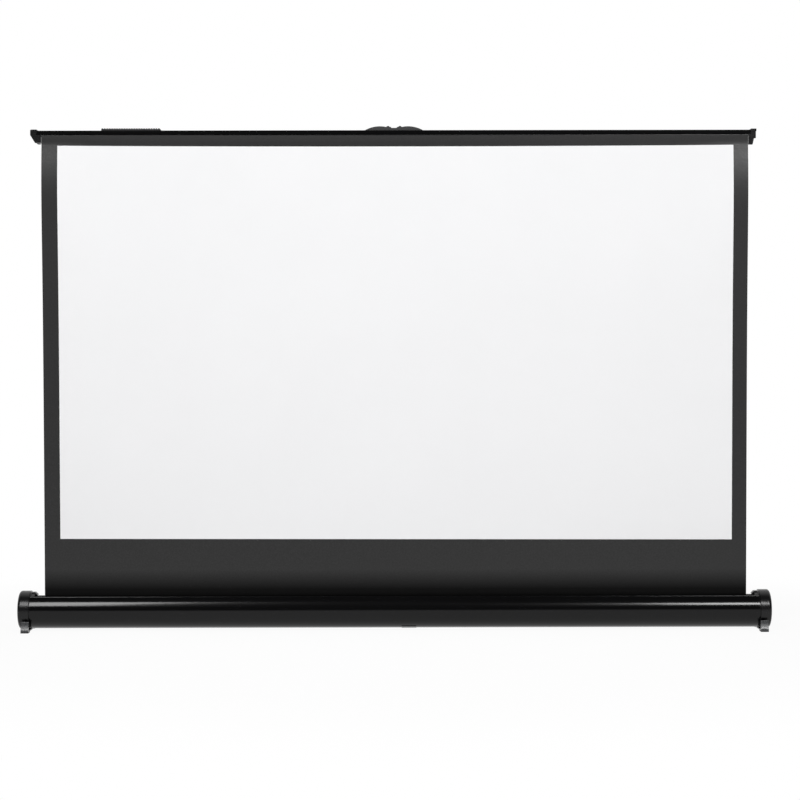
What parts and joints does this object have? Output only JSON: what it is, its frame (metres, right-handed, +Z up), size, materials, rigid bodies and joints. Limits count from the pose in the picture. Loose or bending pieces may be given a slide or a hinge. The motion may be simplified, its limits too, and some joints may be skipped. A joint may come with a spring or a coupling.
{
  "type": "portable projection screen",
  "caption": "Table-top pull-up projection screen: a white fabric with black borders rises from a round casing on swivel feet to a flat top bar held up by folding arms.",
  "frame": {"origin": "on the table, under the middle of the casing", "axes": "+X along the casing to the viewer's right, the picture side faces -Y, +Z up"},
  "size_m": [0.9812, 0.059, 0.6571],
  "materials": {
    "black_anodised": "semi-gloss black",
    "black_plastic": "matte moulded",
    "black_painted_steel": "satin powder coat",
    "bright_steel": "zinc plated",
    "roller_aluminium": "mill finish",
    "screen_cloth": "matte white, black border",
    "black_rubber": "matte"
  },
  "bodies": {
    "casing": {"casing_tube": "black_anodised", "casing_plug": "black_plastic", "left_end_cap": "black_plastic", "right_end_cap": "black_plastic", "end_cap_screws": "bright_steel", "left_roller_bracket": "black_plastic", "right_roller_bracket": "black_plastic", "roller_gudgeon": "bright_steel", "spring_shaft": "bright_steel", "torsion_spring": "bright_steel", "arm_base_bracket": "black_painted_steel", "base_bracket_rivets": "bright_steel", "base_pivot_pins": "bright_steel", "screen_fabric": "screen_cloth", "foot_pivot_screws": "bright_steel", "foot_washers": "black_plastic"},
    "roller": {"roller_tube": "roller_aluminium", "left_roller_plug": "black_plastic", "right_roller_plug": "black_plastic", "spring_anchor": "black_plastic", "fabric_winding": "screen_cloth"},
    "left_lower_arm": {"left_lower_arm": "black_painted_steel", "left_knee_pin": "bright_steel", "left_knee_washer": "black_plastic"},
    "left_upper_arm": {"left_upper_arm": "black_painted_steel"},
    "right_lower_arm": {"right_lower_arm": "black_painted_steel", "right_knee_pin": "bright_steel", "right_knee_washer": "black_plastic"},
    "right_upper_arm": {"right_upper_arm": "black_painted_steel"},
    "top_bar": {"top_bar_profile": "black_anodised", "top_bar_left_cap": "black_plastic", "top_bar_right_cap": "black_plastic", "keder_rod": "black_plastic", "pull_grip": "black_plastic", "grip_screws": "bright_steel", "ribbed_pad": "black_rubber", "top_arm_bracket": "black_painted_steel", "top_bracket_screws": "bright_steel", "top_pivot_pins": "bright_steel"},
    "left_foot": {"left_foot": "black_painted_steel", "left_foot_pads": "black_rubber", "left_toe_screw": "bright_steel"},
    "right_foot": {"right_foot": "black_painted_steel", "right_foot_pads": "black_rubber", "right_toe_screw": "bright_steel"}
  },
  "joints": [
    {"name": "lift", "type": "hinge", "parent": "casing", "child": "left_lower_arm", "pos_m": [-0.018, 0, 0.042], "axis": [0, -1, 0], "range_deg": [0, 71.7], "deforming": ["screen_fabric"]},
    {"name": "left_knee", "type": "hinge", "parent": "left_lower_arm", "child": "left_upper_arm", "pos_m": [-0.11515, 0, 0.34101], "axis": [0, -1, 0], "range_deg": [-143.4, 0]},
    {"name": "top_bar_level", "type": "hinge", "parent": "left_upper_arm", "child": "top_bar", "pos_m": [-0.018, 0, 0.64002], "axis": [0, -1, 0], "range_deg": [0, 71.7]},
    {"name": "right_fold", "type": "hinge", "parent": "casing", "child": "right_lower_arm", "pos_m": [0.018, 0, 0.042], "axis": [0, -1, 0], "range_deg": [-71.7, 0]},
    {"name": "right_knee", "type": "hinge", "parent": "right_lower_arm", "child": "right_upper_arm", "pos_m": [0.11515, 0, 0.34101], "axis": [0, -1, 0], "range_deg": [0, 143.4]},
    {"name": "roller_spin", "type": "hinge", "parent": "casing", "child": "roller", "pos_m": [0, 0.0055, 0.0215], "axis": [1, 0, 0], "range_deg": [0, 2890]},
    {"name": "left_foot_swivel", "type": "hinge", "parent": "casing", "child": "left_foot", "pos_m": [-0.48015, 0, 0.0024], "axis": [0, 0, -1], "range_deg": [0, 90]},
    {"name": "right_foot_swivel", "type": "hinge", "parent": "casing", "child": "right_foot", "pos_m": [0.48015, 0, 0.0024], "axis": [0, 0, 1], "range_deg": [0, 90]}
  ],
  "couplings": [
    {"joint": "left_knee", "follows": "lift", "ratio": -2},
    {"joint": "top_bar_level", "follows": "lift", "ratio": 1},
    {"joint": "right_fold", "follows": "lift", "ratio": -1},
    {"joint": "right_knee", "follows": "lift", "ratio": 2},
    {"joint": "roller_spin", "follows": "lift", "ratio": 40.3}
  ]
}
